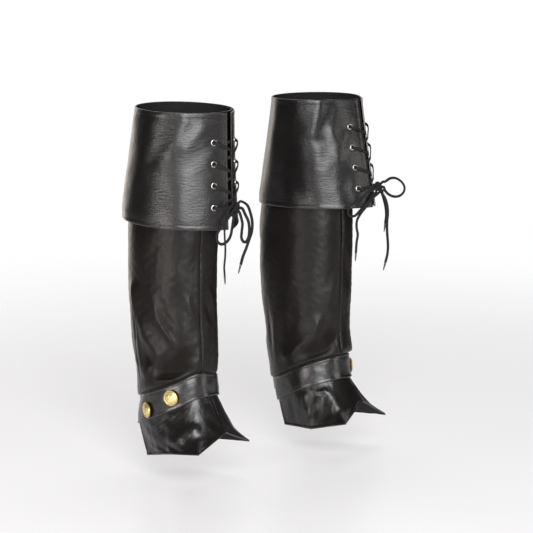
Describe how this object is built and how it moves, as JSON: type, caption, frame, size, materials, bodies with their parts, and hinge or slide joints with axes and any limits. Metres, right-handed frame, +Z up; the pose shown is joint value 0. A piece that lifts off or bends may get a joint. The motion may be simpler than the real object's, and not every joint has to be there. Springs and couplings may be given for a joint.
{
  "type": "pair of boot covers",
  "caption": "Pair of worn leather boot covers: flared lace-up cuffs with eyelets and bows over soft slouching shafts, tilted ankle straps with domed buttons, and flared instep flaps.",
  "frame": {"origin": "the right leg's axis in the right cover's top opening, 0.55 m above the ground that the wearer stands on", "axes": "+Z up along the legs, -Y towards the wearer's front, -X towards the wearer's right side"},
  "size_m": [0.3843, 0.3371, 0.5269],
  "materials": {
    "shaft_leather": "soft matt sheen",
    "cuff_leather": "semi-gloss, finely crinkled",
    "strap_leather": "glossy, finely crinkled",
    "button_gold": "satin gold",
    "eyelet_metal": "antique nickel",
    "lace_cord": "matt flat braid",
    "lace_tip": "smooth tips"
  },
  "bodies": {
    "root": {"right_shaft_front": "shaft_leather", "right_shaft_outer": "shaft_leather", "right_shaft_inner": "shaft_leather", "right_cuff": "cuff_leather", "right_strap": "strap_leather", "right_spat_inner": "strap_leather", "right_spat_outer": "strap_leather", "right_button_1": "button_gold", "right_button_2": "button_gold", "right_eyelet_outer_1": "eyelet_metal", "right_eyelet_outer_2": "eyelet_metal", "right_eyelet_outer_3": "eyelet_metal", "right_eyelet_outer_4": "eyelet_metal", "right_eyelet_inner_1": "eyelet_metal", "right_eyelet_inner_2": "eyelet_metal", "right_eyelet_inner_3": "eyelet_metal", "right_eyelet_inner_4": "eyelet_metal", "right_lacing_outer": "lace_cord", "right_lacing_inner": "lace_cord", "right_knot": "lace_cord", "right_loop_inner": "lace_cord", "right_loop_outer": "lace_cord", "right_tail_inner": "lace_cord", "right_tail_outer": "lace_cord", "right_tip_inner": "lace_tip", "right_tip_outer": "lace_tip", "left_shaft_front": "shaft_leather", "left_shaft_outer": "shaft_leather", "left_shaft_inner": "shaft_leather", "left_cuff": "cuff_leather", "left_strap": "strap_leather", "left_spat_inner": "strap_leather", "left_spat_outer": "strap_leather", "left_button_1": "button_gold", "left_button_2": "button_gold", "left_eyelet_outer_1": "eyelet_metal", "left_eyelet_outer_2": "eyelet_metal", "left_eyelet_outer_3": "eyelet_metal", "left_eyelet_outer_4": "eyelet_metal", "left_eyelet_inner_1": "eyelet_metal", "left_eyelet_inner_2": "eyelet_metal", "left_eyelet_inner_3": "eyelet_metal", "left_eyelet_inner_4": "eyelet_metal", "left_lacing_outer": "lace_cord", "left_lacing_inner": "lace_cord", "left_knot": "lace_cord", "left_loop_inner": "lace_cord", "left_loop_outer": "lace_cord", "left_tail_inner": "lace_cord", "left_tail_outer": "lace_cord", "left_tail_short": "lace_cord", "left_tip_inner": "lace_tip", "left_tip_outer": "lace_tip", "left_tip_short": "lace_tip"}
  },
  "joints": []
}
